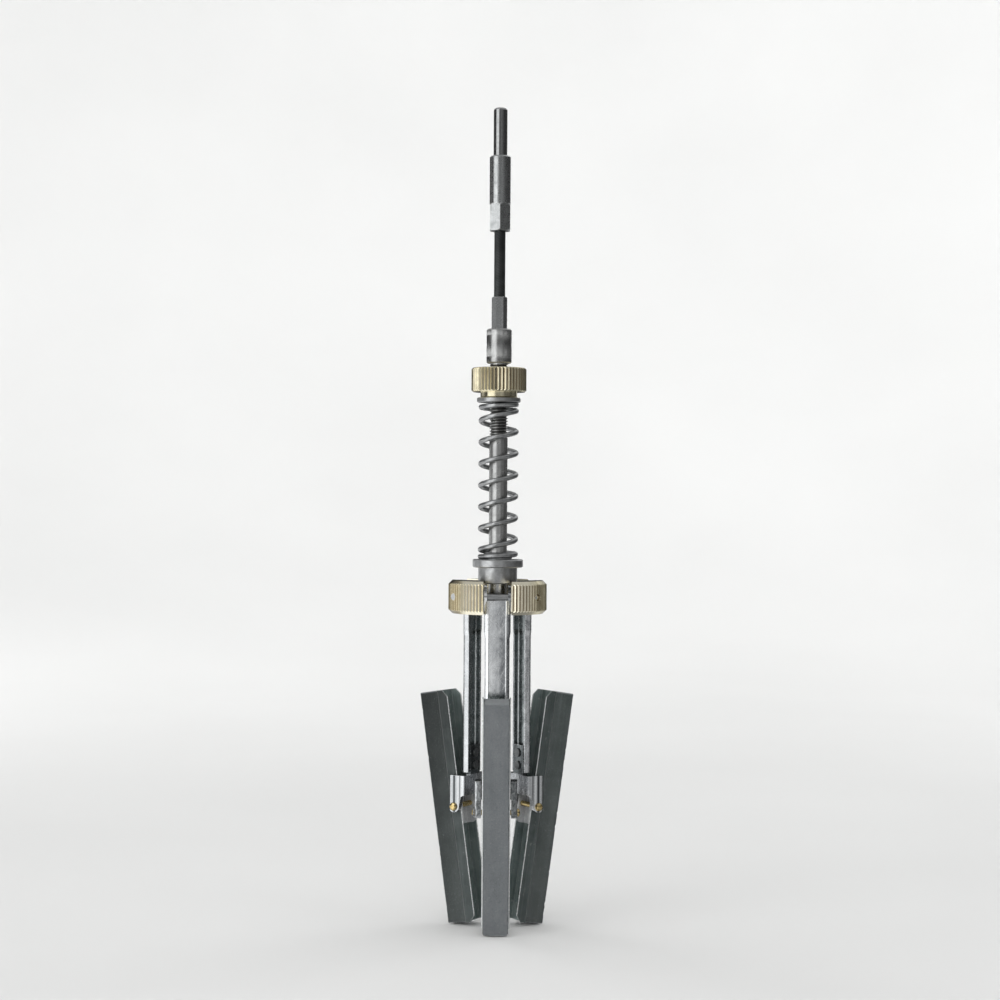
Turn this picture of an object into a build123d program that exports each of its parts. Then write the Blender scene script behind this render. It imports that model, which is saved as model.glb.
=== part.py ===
from build123d import *
import os
import math

# Three-stone engine cylinder hone with a flexible drive shaft, 51 to 178 mm bores.
# Millimetres. +Z runs up the hone's axis, towards the drill. The origin is at the
# middle of the exposed drive shank. Arm 1 points to -Y, arm 2 to +X+Y, arm 3 to -X+Y.

# ---------------------------------------------------------------- driving dimensions
SHANK_R = 3.0
SHANK_TOP = 10.5
SHANK_BOTTOM = -28.5
SHANK_SEAT_R = 2.6

UPPER_SLEEVE_R = 4.6
UPPER_TOP = -10.5
UPPER_HEX_TOP = -31.4
UPPER_BOTTOM = -43.2
UPPER_HEX_AF = 8.9

FLEX_R = 2.5
FLEX_END_R = 2.2
FLEX_END_LENGTH = 10.0
FLEX_SOCKET_R = 2.25
FLEX_BOTTOM = -72.0

LOWER_HEX_AF = 5.86
LOWER_BOTTOM = -86.0
LOWER_STUB_R = 2.55
LOWER_STUB_BOTTOM = -98.0

BOSS_R = 5.5
BOSS_BOTTOM = -101.0
COUPLING_PIN_R = 1.0
COUPLING_PIN_Z = -93.0

SPINDLE_R = 4.0
SPINDLE_TAIL_R = 2.5
SPINDLE_BOTTOM = -218.5
BORE_CLEAR = 0.08

NUT_TOP = -103.0
NUT_BOTTOM = -116.0
NUT_R = 12.0
NUT_TEETH = 48
NUT_KNURL_DEPTH = 0.5

WASHER_R = 9.5
WASHER_THICK = 2.0
SEAT_GAP = 0.02

SPRING_MEAN_R = 7.7
SPRING_WIRE = 2.2
SPRING_TURNS = 9.0

COLLAR_TOP = -186.5
COLLAR_FLANGE_R = 11.0
COLLAR_FLANGE_THICK = 3.5
COLLAR_NOSE_R = 8.5
COLLAR_NOSE_BOTTOM = -197.0
COLLAR_SPIGOT_R = 6.2

HUB_R = 21.45
HUB_TEETH = 84
HUB_KNURL_DEPTH = 0.6
HUB_TOP = -195.6
HUB_BOTTOM = -209.9
HUB_FLOOR = -204.7
HUB_RECESS_R = 9.2
HUB_SLOT_W = 12.1
HUB_SLOT_INNER = 8.6
HUB_CHAMFER = 1.7

ARM_PIVOT_R = 12.0
ARM_PIVOT_Z = -202.6
ARM_PIN_R = 1.5
ARM_OUT = 14.6
ARM_IN = 11.15
ARM_SHEET = 1.2
ARM_BEND = 1.6
ARM_TIP_ROUND = 0.25
ARM_W = 10.7
ARM_W_TOP = 11.5
ARM_WEB_TOP = -204.0
ARM_STEP_TOP = -217.6
ARM_STEP_BOTTOM = -220.0
ARM_BOTTOM = -281.0
ARM_END_GAP = 1.2
CRANK_R = -5.0
CRANK_Z = 4.0
CRANK_TIP_R = 1.3
ARM_EYE_R = 2.7

STONE_PIN_RADIAL = 16.2
STONE_PIN_Z = -294.6
STONE_PIN_R = 1.2
REST_TILT = 8.7

YOKE_IN = 10.6
YOKE_OUT = 13.3
YOKE_EAR_IN = 11.7
YOKE_EAR_OUT = 18.5
YOKE_HALF = 9.1
YOKE_GAP_HALF = 6.45
YOKE_BRIDGE_BOTTOM = -289.5
YOKE_EAR_SQUARE_BOTTOM = -290.0
YOKE_EYE_R = 2.5

HOLDER_BACK = 14.4
HOLDER_FACE = 19.7
HOLDER_HALF = 6.1
HOLDER_SHEET = 0.6
HOLDER_BEND = 0.9
HOLDER_TIP_ROUND = 0.2
STONE_LENGTH = 101.6
STONE_DEPTH = 9.0
STONE_HALF_W = 5.5

AZIMUTHS = {1: 270.0, 2: 30.0, 3: 150.0}
HEAD_SIDE = {1: 1, 2: -1, 3: 1}

os.makedirs("parts", exist_ok=True)


# ---------------------------------------------------------------- helpers
def cyl(r, z0, z1, x=0.0, y=0.0):
    """Vertical cylinder between two heights."""
    return Pos(x, y, min(z0, z1)) * Cylinder(
        r, abs(z1 - z0), align=(Align.CENTER, Align.CENTER, Align.MIN)
    )


def block(x0, x1, y0, y1, z0, z1):
    return Pos((x0 + x1) / 2, (y0 + y1) / 2, (z0 + z1) / 2) * Box(
        abs(x1 - x0), abs(y1 - y0), abs(z1 - z0)
    )


def rod_y(r, x, z, y0, y1):
    """Cylinder along Y, the tangential direction of an arm drawn along +X."""
    return Pos(x, (y0 + y1) / 2, z) * Rot(90, 0, 0) * Cylinder(r, abs(y1 - y0))


def rod_x(r, y, z, x0, x1):
    return Pos((x0 + x1) / 2, y, z) * Rot(0, 90, 0) * Cylinder(r, abs(x1 - x0))


def turned(points):
    """Solid of revolution about Z from (radius, height) points."""
    face = make_face(Polyline([(r, 0, z) for r, z in points], close=True))
    return revolve(face, axis=Axis.Z)


def hexagon(af, z0, z1, turn=0.0):
    prism = RegularPolygon(radius=af / 2 / math.cos(math.pi / 6), side_count=6)
    return Pos(0, 0, min(z0, z1)) * Rot(0, 0, turn) * extrude(prism, abs(z1 - z0))


def knurled(r, teeth, depth, z0, z1, chamfer_size):
    """Straight-knurled disc with chamfered rims."""
    pts = []
    for i in range(teeth):
        a = 2 * math.pi * i / teeth
        b = 2 * math.pi * (i + 0.5) / teeth
        pts.append((r * math.cos(a), r * math.sin(a)))
        pts.append(((r - depth) * math.cos(b), (r - depth) * math.sin(b)))
    prism = Pos(0, 0, z0) * extrude(make_face(Polyline(pts, close=True)), z1 - z0)
    limit = turned(
        [
            (0, z0),
            (r + 0.05 - chamfer_size, z0),
            (r + 0.05, z0 + chamfer_size),
            (r + 0.05, z1 - chamfer_size),
            (r + 0.05 - chamfer_size, z1),
            (0, z1),
        ]
    )
    return prism & limit


def side_plate(sketch, y0, y1):
    """Plate drawn in the radial and vertical directions, y0 to y1 thick."""
    solid = extrude(Plane.XZ * sketch, amount=abs(y1 - y0), dir=(0, 1, 0))
    return Pos(0, min(y0, y1), 0) * solid


def one(shape):
    """The single solid of a shape, or the shape when it holds several."""
    solids = [s for s in shape.solids() if s.volume > 1e-6]
    return solids[0] if len(solids) == 1 else Compound(children=list(solids))


def save(shape, node):
    shape = one(shape)
    shape.label = node
    export_step(shape, f"parts/{node}.step")


# ---------------------------------------------------------------- drive shank
shank = turned(
    [
        (0, SHANK_BOTTOM),
        (SHANK_SEAT_R - 0.4, SHANK_BOTTOM),
        (SHANK_SEAT_R, SHANK_BOTTOM + 0.4),
        (SHANK_SEAT_R, UPPER_TOP),
        (SHANK_R, UPPER_TOP),
        (SHANK_R, SHANK_TOP - 1.0),
        (SHANK_R - 0.35, SHANK_TOP - 0.35),
        (SHANK_R - 1.0, SHANK_TOP),
        (0, SHANK_TOP),
    ]
)
save(shank, "drive_shank")

# ---------------------------------------------------------------- upper coupling
upper = turned(
    [
        (0, UPPER_HEX_TOP),
        (UPPER_SLEEVE_R, UPPER_HEX_TOP),
        (UPPER_SLEEVE_R, UPPER_TOP - 0.6),
        (UPPER_SLEEVE_R - 0.6, UPPER_TOP),
        (0, UPPER_TOP),
    ]
)
crimp = hexagon(UPPER_HEX_AF, UPPER_HEX_TOP, UPPER_BOTTOM, 30)
crimp_limit = turned(
    [
        (0, UPPER_BOTTOM),
        (UPPER_HEX_AF / 2 - 0.1, UPPER_BOTTOM),
        (UPPER_HEX_AF / 2 + 0.75, UPPER_BOTTOM + 0.6),
        (UPPER_HEX_AF / 2 + 0.75, UPPER_HEX_TOP - 0.9),
        (UPPER_SLEEVE_R, UPPER_HEX_TOP),
        (0, UPPER_HEX_TOP),
    ]
)
upper = upper + (crimp & crimp_limit)
upper = upper - cyl(SHANK_SEAT_R, SHANK_BOTTOM, UPPER_TOP + 1)
upper = upper - cyl(FLEX_SOCKET_R, UPPER_BOTTOM - 1, UPPER_BOTTOM + FLEX_END_LENGTH + 0.5)
save(upper, "upper_coupling")

# ---------------------------------------------------------------- flexible shaft
flex = turned(
    [
        (0, FLEX_BOTTOM - FLEX_END_LENGTH),
        (FLEX_END_R, FLEX_BOTTOM - FLEX_END_LENGTH),
        (FLEX_END_R, FLEX_BOTTOM),
        (FLEX_R, FLEX_BOTTOM),
        (FLEX_R, UPPER_BOTTOM),
        (FLEX_END_R, UPPER_BOTTOM),
        (FLEX_END_R, UPPER_BOTTOM + FLEX_END_LENGTH),
        (0, UPPER_BOTTOM + FLEX_END_LENGTH),
    ]
)
save(flex, "flex_shaft")

# ---------------------------------------------------------------- lower coupling
lower_limit = turned(
    [
        (0, LOWER_BOTTOM),
        (LOWER_HEX_AF / 2, LOWER_BOTTOM),
        (LOWER_HEX_AF / 2 + 0.5, LOWER_BOTTOM + 0.4),
        (LOWER_HEX_AF / 2 + 0.5, FLEX_BOTTOM - 0.4),
        (LOWER_HEX_AF / 2, FLEX_BOTTOM),
        (0, FLEX_BOTTOM),
    ]
)
lower = hexagon(LOWER_HEX_AF, LOWER_BOTTOM, FLEX_BOTTOM) & lower_limit
lower = lower + cyl(LOWER_STUB_R, LOWER_STUB_BOTTOM, LOWER_BOTTOM)
lower = lower - cyl(FLEX_SOCKET_R, FLEX_BOTTOM - FLEX_END_LENGTH - 0.5, FLEX_BOTTOM + 1)
lower = lower - rod_x(COUPLING_PIN_R, 0, COUPLING_PIN_Z, -10, 10)
save(lower, "lower_coupling")

coupling_pin = rod_x(COUPLING_PIN_R, 0, COUPLING_PIN_Z, -5.3, 5.3)
save(coupling_pin, "coupling_pin")

# ---------------------------------------------------------------- spindle
spindle = turned(
    [
        (0, SPINDLE_BOTTOM),
        (SPINDLE_TAIL_R - 0.5, SPINDLE_BOTTOM),
        (SPINDLE_TAIL_R, SPINDLE_BOTTOM + 0.5),
        (SPINDLE_TAIL_R, HUB_FLOOR),
        (SPINDLE_R, HUB_FLOOR),
        (SPINDLE_R, BOSS_BOTTOM),
        (BOSS_R - 0.5, BOSS_BOTTOM),
        (BOSS_R, BOSS_BOTTOM + 0.5),
        (BOSS_R, LOWER_BOTTOM - 0.6),
        (BOSS_R - 0.6, LOWER_BOTTOM),
        (0, LOWER_BOTTOM),
    ]
)
spindle = spindle - cyl(LOWER_STUB_R, LOWER_STUB_BOTTOM, LOWER_BOTTOM + 1)
spindle = spindle - rod_x(COUPLING_PIN_R, 0, COUPLING_PIN_Z, -10, 10)
save(spindle, "spindle")

# ---------------------------------------------------------------- tension nut, washer and spring
nut = knurled(NUT_R, NUT_TEETH, NUT_KNURL_DEPTH, NUT_BOTTOM + 2.5, NUT_TOP, 0.7)
nut = nut + turned(
    [
        (0, NUT_BOTTOM),
        (7.6, NUT_BOTTOM),
        (8.0, NUT_BOTTOM + 0.4),
        (8.0, NUT_BOTTOM + 2.5),
        (0, NUT_BOTTOM + 2.5),
    ]
)
nut = nut - cyl(SPINDLE_R + BORE_CLEAR, NUT_BOTTOM - 1, NUT_TOP + 1)
nut = nut - turned(
    [
        (0, NUT_TOP + 0.01),
        (SPINDLE_R + 0.9, NUT_TOP + 0.01),
        (SPINDLE_R + BORE_CLEAR, NUT_TOP - 0.8),
        (0, NUT_TOP - 0.8),
    ]
)
save(nut, "tension_nut")

WASHER_BOTTOM = NUT_BOTTOM - WASHER_THICK
washer = turned(
    [
        (SPINDLE_R + 0.2, WASHER_BOTTOM),
        (WASHER_R - 0.3, WASHER_BOTTOM),
        (WASHER_R, WASHER_BOTTOM + 0.3),
        (WASHER_R, NUT_BOTTOM - SEAT_GAP - 0.3),
        (WASHER_R - 0.3, NUT_BOTTOM - SEAT_GAP),
        (SPINDLE_R + 0.2, NUT_BOTTOM - SEAT_GAP),
    ]
)
save(washer, "thrust_washer")

spring_height = WASHER_BOTTOM - COLLAR_TOP
pitch = (spring_height + SPRING_WIRE) / SPRING_TURNS
coil_path = Helix(pitch=pitch, height=spring_height + SPRING_WIRE, radius=SPRING_MEAN_R)
coil_section = Plane(origin=coil_path @ 0, z_dir=coil_path % 0) * Circle(SPRING_WIRE / 2)
coil = sweep(coil_section, path=coil_path, is_frenet=True)
coil = Pos(0, 0, COLLAR_TOP - SPRING_WIRE / 2) * coil
coil = coil & cyl(SPRING_MEAN_R + 3, COLLAR_TOP, WASHER_BOTTOM)
save(coil, "tension_spring")

# ---------------------------------------------------------------- thrust collar
collar = turned(
    [
        (SPINDLE_R + BORE_CLEAR, COLLAR_NOSE_BOTTOM),
        (COLLAR_NOSE_R - 0.4, COLLAR_NOSE_BOTTOM),
        (COLLAR_NOSE_R, COLLAR_NOSE_BOTTOM + 0.4),
        (COLLAR_NOSE_R, COLLAR_TOP - COLLAR_FLANGE_THICK),
        (COLLAR_FLANGE_R - 0.4, COLLAR_TOP - COLLAR_FLANGE_THICK),
        (COLLAR_FLANGE_R, COLLAR_TOP - COLLAR_FLANGE_THICK + 0.4),
        (COLLAR_FLANGE_R, COLLAR_TOP - 0.4),
        (COLLAR_FLANGE_R - 0.4, COLLAR_TOP),
        (COLLAR_SPIGOT_R, COLLAR_TOP),
        (COLLAR_SPIGOT_R, COLLAR_TOP + 2.4),
        (COLLAR_SPIGOT_R - 0.6, COLLAR_TOP + 3.0),
        (SPINDLE_R + BORE_CLEAR, COLLAR_TOP + 3.0),
    ]
)
save(collar, "thrust_collar")

# ---------------------------------------------------------------- slotted hub
hub = knurled(HUB_R, HUB_TEETH, HUB_KNURL_DEPTH, HUB_BOTTOM, HUB_TOP, HUB_CHAMFER)
hub = hub - cyl(HUB_RECESS_R, HUB_FLOOR, HUB_TOP + 1)
for az in AZIMUTHS.values():
    upper_slot = block(0, 30, -HUB_SLOT_W / 2, HUB_SLOT_W / 2, HUB_FLOOR, HUB_TOP + 1)
    lower_slot = block(
        HUB_SLOT_INNER, 30, -HUB_SLOT_W / 2, HUB_SLOT_W / 2, HUB_BOTTOM - 1, HUB_TOP + 1
    )
    hole = rod_y(ARM_PIN_R, ARM_PIVOT_R, ARM_PIVOT_Z, -10.5, 24)
    hub = hub - Rot(0, 0, az) * upper_slot
    hub = hub - Rot(0, 0, az) * lower_slot
    hub = hub - Rot(0, 0, az) * hole
hub = hub - cyl(SPINDLE_TAIL_R, HUB_BOTTOM - 1, HUB_TOP + 1)
save(hub, "arm_hub")

pin = rod_y(ARM_PIN_R, ARM_PIVOT_R, ARM_PIVOT_Z, -10.4, 16.9)
save(Compound(children=[one(Rot(0, 0, az) * pin) for az in AZIMUTHS.values()]), "arm_pivot_pins")

hub_washer = cyl(5.2, HUB_BOTTOM - 1.4, HUB_BOTTOM) - cyl(SPINDLE_TAIL_R, HUB_BOTTOM - 2, HUB_BOTTOM + 1)
save(hub_washer, "hub_washer")

hub_nut_top = HUB_BOTTOM - 1.4
hub_nut = hexagon(8.0, hub_nut_top - 5.0, hub_nut_top) & turned(
    [
        (0, hub_nut_top - 5.0),
        (3.9, hub_nut_top - 5.0),
        (4.7, hub_nut_top - 4.5),
        (4.7, hub_nut_top - 0.5),
        (3.9, hub_nut_top),
        (0, hub_nut_top),
    ]
)
hub_nut = hub_nut - cyl(SPINDLE_TAIL_R, hub_nut_top - 6, hub_nut_top + 1)
save(hub_nut, "hub_nut")


# ---------------------------------------------------------------- arms, drawn along +X
def channel(width):
    """Section of the arm: a U of bent sheet with its web outwards."""
    outer = Pos((ARM_IN + ARM_OUT) / 2, 0) * Rectangle(ARM_OUT - ARM_IN, width)
    outer = fillet(outer.vertices().sort_by(Axis.X)[-2:], ARM_BEND)
    depth = ARM_OUT - ARM_SHEET - ARM_IN
    inner = Pos(ARM_IN + depth / 2 - 1, 0) * Rectangle(depth + 2, width - 2 * ARM_SHEET)
    inner = fillet(inner.vertices().sort_by(Axis.X)[-2:], ARM_BEND - ARM_SHEET)
    section = outer - inner
    return fillet(section.vertices().sort_by(Axis.X)[:4], ARM_TIP_ROUND)


narrow = channel(ARM_W)
wide = channel(ARM_W_TOP)
arm_end = ARM_BOTTOM + ARM_END_GAP
arm = Pos(0, 0, arm_end) * extrude(narrow, ARM_STEP_BOTTOM - arm_end)
arm = arm + loft([Pos(0, 0, ARM_STEP_BOTTOM) * narrow.face(), Pos(0, 0, ARM_STEP_TOP) * wide.face()])
arm = arm + Pos(0, 0, ARM_STEP_TOP) * extrude(wide, ARM_WEB_TOP - ARM_STEP_TOP)

eye = Pos(ARM_PIVOT_R, ARM_PIVOT_Z) * Circle(ARM_EYE_R)
root_strip = Pos((ARM_IN + ARM_OUT) / 2 - 0.1, ARM_WEB_TOP - 4) * Rectangle(ARM_OUT - ARM_IN - 1.8, 1.0)
tip_x, tip_z = ARM_PIVOT_R + CRANK_R, ARM_PIVOT_Z + CRANK_Z
ear = make_hull(eye.edges() + root_strip.edges())
finger = make_hull(
    (Pos(tip_x, tip_z) * Circle(1.0)).edges()
    + (Pos(ARM_PIVOT_R - 0.6, ARM_PIVOT_Z + 0.4) * Circle(1.1)).edges()
)
ear = ear + finger + Pos(tip_x, tip_z) * Circle(CRANK_TIP_R) + eye
edge = ARM_W_TOP / 2
for y0, y1 in ((edge - ARM_SHEET, edge), (-edge, -edge + ARM_SHEET)):
    arm = arm + side_plate(ear, y0, y1)
arm = arm - rod_y(ARM_PIN_R + 0.06, ARM_PIVOT_R, ARM_PIVOT_Z, -20, 20)

RIVETS_Z = (ARM_BOTTOM + 4.0, ARM_BOTTOM + 9.5)
for z in RIVETS_Z:
    arm = arm - rod_x(1.1, 0, z, 5, 20)

# ---------------------------------------------------------------- yoke at the arm's end
bridge_side = Pos((YOKE_IN + YOKE_EAR_IN + 2) / 2, (YOKE_BRIDGE_BOTTOM + ARM_BOTTOM) / 2) * Rectangle(
    YOKE_EAR_IN + 2 - YOKE_IN, ARM_BOTTOM - YOKE_BRIDGE_BOTTOM
)
ear_top = Pos((YOKE_EAR_IN + YOKE_EAR_OUT) / 2, (YOKE_EAR_SQUARE_BOTTOM + ARM_BOTTOM) / 2) * RectangleRounded(
    YOKE_EAR_OUT - YOKE_EAR_IN, ARM_BOTTOM - YOKE_EAR_SQUARE_BOTTOM, 0.8
)
ear_low = make_hull(
    (
        Pos((YOKE_EAR_IN + YOKE_EAR_OUT) / 2 + 0.2, YOKE_EAR_SQUARE_BOTTOM + 1.2)
        * Rectangle(YOKE_EAR_OUT - YOKE_EAR_IN - 1.2, 1.0)
    ).edges()
    + (Pos(STONE_PIN_RADIAL, STONE_PIN_Z) * Circle(YOKE_EYE_R)).edges()
)
yoke_side = bridge_side + ear_top + ear_low
yoke_plan = Pos((YOKE_IN + YOKE_EAR_OUT) / 2, 0) * RectangleRounded(YOKE_EAR_OUT - YOKE_IN, 2 * YOKE_HALF, 1.0)
yoke_gap = Pos(YOKE_OUT + 5, 0) * Rectangle(10, 2 * YOKE_GAP_HALF)
yoke_gap = fillet(yoke_gap.vertices().sort_by(Axis.X)[:2], 0.6)
yoke = side_plate(yoke_side, -YOKE_HALF - 1, YOKE_HALF + 1) & (
    Pos(0, 0, ARM_BOTTOM - 20) * extrude(yoke_plan - yoke_gap, 25)
)
yoke = yoke - block(5, YOKE_OUT + 1, -YOKE_GAP_HALF, YOKE_GAP_HALF, ARM_BOTTOM - 20, YOKE_BRIDGE_BOTTOM)
tang_half = ARM_W / 2 - ARM_SHEET - 0.1
tang_plan = Pos((YOKE_IN + 0.2 + ARM_OUT - ARM_SHEET) / 2, 0) * Rectangle(
    ARM_OUT - ARM_SHEET - YOKE_IN - 0.2, 2 * tang_half
)
tang_plan = chamfer(tang_plan.vertices().sort_by(Axis.X)[-2:], 0.5)
tang = Pos(0, 0, ARM_BOTTOM - 1.5) * extrude(tang_plan, 14.5)
yoke = yoke + tang
yoke = yoke - rod_y(STONE_PIN_R + 0.06, STONE_PIN_RADIAL, STONE_PIN_Z, -20, 20)
for z in RIVETS_Z:
    yoke = yoke - rod_x(1.1, 0, z, 5, 20)


def rivet(z):
    """Radial rivet with a low dome outside the web and a flat upset inside."""
    x_in, x_out = YOKE_IN + 0.2, ARM_OUT
    profile = make_face(
        Polyline(
            [
                (0, x_in - 0.6),
                (1.9, x_in - 0.6),
                (1.9, x_in),
                (1.1, x_in),
                (1.1, x_out),
                (2.1, x_out),
                (1.7, x_out + 0.45),
                (1.0, x_out + 0.7),
                (0, x_out + 0.75),
            ],
            close=True,
        )
    )
    solid = revolve(profile, axis=Axis.Y)
    return Pos(0, 0, z) * Rot(0, 0, -90) * solid


rivets = [rivet(z) for z in RIVETS_Z]

# ---------------------------------------------------------------- stone pin and its clip
def stone_pin(side):
    """Pin along Y with a domed head on the given side and a clip groove on the other."""
    head = [
        (0, YOKE_HALF + 1.25),
        (0.9, YOKE_HALF + 1.15),
        (1.5, YOKE_HALF + 0.85),
        (1.8, YOKE_HALF + 0.35),
        (1.8, YOKE_HALF + 0.05),
        (STONE_PIN_R, YOKE_HALF + 0.05),
    ]
    tail = [
        (STONE_PIN_R, -(YOKE_HALF + 0.12)),
        (0.95, -(YOKE_HALF + 0.12)),
        (0.95, -(YOKE_HALF + 0.74)),
        (STONE_PIN_R, -(YOKE_HALF + 0.74)),
        (STONE_PIN_R, -(YOKE_HALF + 1.1)),
        (STONE_PIN_R - 0.25, -(YOKE_HALF + 1.35)),
        (0, -(YOKE_HALF + 1.35)),
    ]
    solid = revolve(make_face(Polyline(head + tail, close=True)), axis=Axis.Y)
    if side < 0:
        solid = Rot(0, 0, 180) * solid
    return Pos(STONE_PIN_RADIAL, 0, STONE_PIN_Z) * solid


def pin_clip(side):
    ring = Circle(2.3) - Circle(0.97) - Pos(0, -2.0) * Rectangle(1.7, 4.0)
    y0 = -side * (YOKE_HALF + 0.13)
    y1 = -side * (YOKE_HALF + 0.73)
    return Pos(STONE_PIN_RADIAL, 0, STONE_PIN_Z) * side_plate(ring, y0, y1)


# ---------------------------------------------------------------- stone, holder and saddle, drawn square to the arm
half = STONE_LENGTH / 2
z_lo, z_hi = STONE_PIN_Z - half, STONE_PIN_Z + half
h_outer = Pos((HOLDER_BACK + HOLDER_FACE) / 2, 0) * Rectangle(HOLDER_FACE - HOLDER_BACK, 2 * HOLDER_HALF)
h_outer = fillet(h_outer.vertices().sort_by(Axis.X)[-2:], HOLDER_BEND)
h_depth = HOLDER_FACE - HOLDER_SHEET - HOLDER_BACK
h_inner = Pos(HOLDER_BACK + h_depth / 2 - 1, 0) * Rectangle(h_depth + 2, 2 * (HOLDER_HALF - HOLDER_SHEET))
h_section = h_outer - h_inner
h_section = fillet(h_section.vertices().sort_by(Axis.X)[:4], HOLDER_TIP_ROUND)
holder = Pos(0, 0, z_lo) * extrude(h_section, STONE_LENGTH)
for sign, z in ((1, z_hi), (-1, z_lo)):
    corner = make_face(
        Polyline(
            [
                (HOLDER_BACK - 1, z + sign * 1),
                (HOLDER_BACK + 2.5 + 2.5 / 3.0, z + sign * 1),
                (HOLDER_BACK - 2.5 / 3.0, z - sign * 4),
                (HOLDER_BACK - 1, z - sign * 4),
            ],
            close=True,
        )
    )
    holder = holder - side_plate(corner, -10, 10)
holder = holder - rod_y(STONE_PIN_R + 0.06, STONE_PIN_RADIAL, STONE_PIN_Z, -20, 20)

s_out = HOLDER_HALF - HOLDER_SHEET
saddle_side = Pos((14.3 + HOLDER_FACE - HOLDER_SHEET) / 2, STONE_PIN_Z) * Rectangle(
    HOLDER_FACE - HOLDER_SHEET - 14.3, 17.0
)
saddle_side = fillet(saddle_side.vertices().sort_by(Axis.X)[:2], 2.0)
saddle = side_plate(saddle_side, -s_out, -s_out + 0.9) + side_plate(saddle_side, s_out - 0.9, s_out)
saddle = saddle + block(
    HOLDER_FACE - HOLDER_SHEET - 0.9, HOLDER_FACE - HOLDER_SHEET, -s_out, s_out, STONE_PIN_Z - 8.5, STONE_PIN_Z + 8.5
)
saddle = saddle - rod_y(STONE_PIN_R + 0.06, STONE_PIN_RADIAL, STONE_PIN_Z, -20, 20)

stone = block(HOLDER_FACE, HOLDER_FACE + STONE_DEPTH, -STONE_HALF_W, STONE_HALF_W, z_lo, z_hi)
end_corners = [e for e in stone.edges().filter_by(Axis.X)]
stone = chamfer(end_corners, 0.7)
face_edges = [e for e in stone.edges().filter_by(Axis.Z) if e.center().X > HOLDER_FACE + 1]
stone = chamfer(face_edges, 0.25)


def tilted(shape):
    """Tilt about the stone pin, upper end outwards, as the stone hangs at rest."""
    return (
        Pos(STONE_PIN_RADIAL, 0, STONE_PIN_Z)
        * Rot(0, REST_TILT, 0)
        * Pos(-STONE_PIN_RADIAL, 0, -STONE_PIN_Z)
        * shape
    )


for k, az in AZIMUTHS.items():
    turn = Rot(0, 0, az)
    side = HEAD_SIDE[k]
    save(turn * arm, f"arm_{k}")
    save(turn * yoke, f"yoke_{k}")
    save(Compound(children=[one(turn * r) for r in rivets]), f"yoke_rivets_{k}")
    save(turn * stone_pin(side), f"stone_pin_{k}")
    save(turn * pin_clip(side), f"pin_clip_{k}")
    save(turn * tilted(holder), f"stone_holder_{k}")
    save(turn * tilted(saddle), f"pivot_saddle_{k}")
    save(turn * tilted(stone), f"stone_{k}")

print("pitch of the coil spring", round(pitch, 3))
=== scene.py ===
import math

import bmesh
import bpy
import numpy as np
from mathutils import Matrix, Vector, noise


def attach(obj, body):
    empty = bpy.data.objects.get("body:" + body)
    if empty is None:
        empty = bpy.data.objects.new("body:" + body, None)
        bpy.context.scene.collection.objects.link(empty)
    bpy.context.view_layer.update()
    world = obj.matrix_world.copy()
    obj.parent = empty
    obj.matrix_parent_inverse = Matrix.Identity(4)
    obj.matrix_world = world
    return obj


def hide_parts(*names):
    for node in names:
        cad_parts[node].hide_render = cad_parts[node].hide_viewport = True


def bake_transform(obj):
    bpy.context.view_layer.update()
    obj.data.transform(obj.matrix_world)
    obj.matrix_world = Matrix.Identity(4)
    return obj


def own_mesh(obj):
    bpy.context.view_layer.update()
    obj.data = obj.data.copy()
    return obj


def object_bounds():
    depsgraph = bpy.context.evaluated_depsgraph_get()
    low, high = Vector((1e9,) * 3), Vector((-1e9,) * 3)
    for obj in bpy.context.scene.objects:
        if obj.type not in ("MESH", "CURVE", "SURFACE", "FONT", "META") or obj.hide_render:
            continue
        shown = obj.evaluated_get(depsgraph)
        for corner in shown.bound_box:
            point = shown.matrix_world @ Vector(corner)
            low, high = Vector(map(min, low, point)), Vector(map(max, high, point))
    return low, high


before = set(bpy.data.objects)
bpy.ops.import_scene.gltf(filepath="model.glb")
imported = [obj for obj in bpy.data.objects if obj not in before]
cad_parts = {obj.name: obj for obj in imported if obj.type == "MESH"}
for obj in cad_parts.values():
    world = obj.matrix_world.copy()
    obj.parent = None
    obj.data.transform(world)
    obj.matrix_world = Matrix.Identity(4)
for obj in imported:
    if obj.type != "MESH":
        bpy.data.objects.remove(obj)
cad_lo, cad_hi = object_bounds()
scene = bpy.context.scene
AZ = {1: 270.0, 2: 30.0, 3: 150.0}
MM = 0.001

# ------------------------------------------------------------------ camera
camera_data = bpy.data.cameras.new("camera")
camera_data.sensor_width = 36.0
camera_data.lens = 74.2
camera_data.dof.use_dof = False
camera = bpy.data.objects.new("camera", camera_data)
scene.collection.objects.link(camera)
camera.matrix_world = (
    Matrix.Translation((0.0008, -0.900, -0.1606))
    @ Matrix.Rotation(math.radians(90), 4, "X")
    @ Matrix.Rotation(math.radians(0.38), 4, "Z")
)
scene.camera = camera

# ------------------------------------------------------------------ stage: pale floor that curves up all round
FLOOR_Z = cad_lo.z - 0.0004


def mesh_object(name, verts, faces, smooth_angle=None):
    mesh = bpy.data.meshes.new(name)
    mesh.from_pydata([tuple(v) for v in verts], [], faces)
    mesh.validate()
    bm = bmesh.new()
    bm.from_mesh(mesh)
    bmesh.ops.recalc_face_normals(bm, faces=bm.faces)
    bm.to_mesh(mesh)
    bm.free()
    if smooth_angle is not None:
        mesh.shade_smooth()
        mesh.set_sharp_from_angle(angle=math.radians(smooth_angle))
    o = bpy.data.objects.new(name, mesh)
    scene.collection.objects.link(o)
    return o


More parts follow.
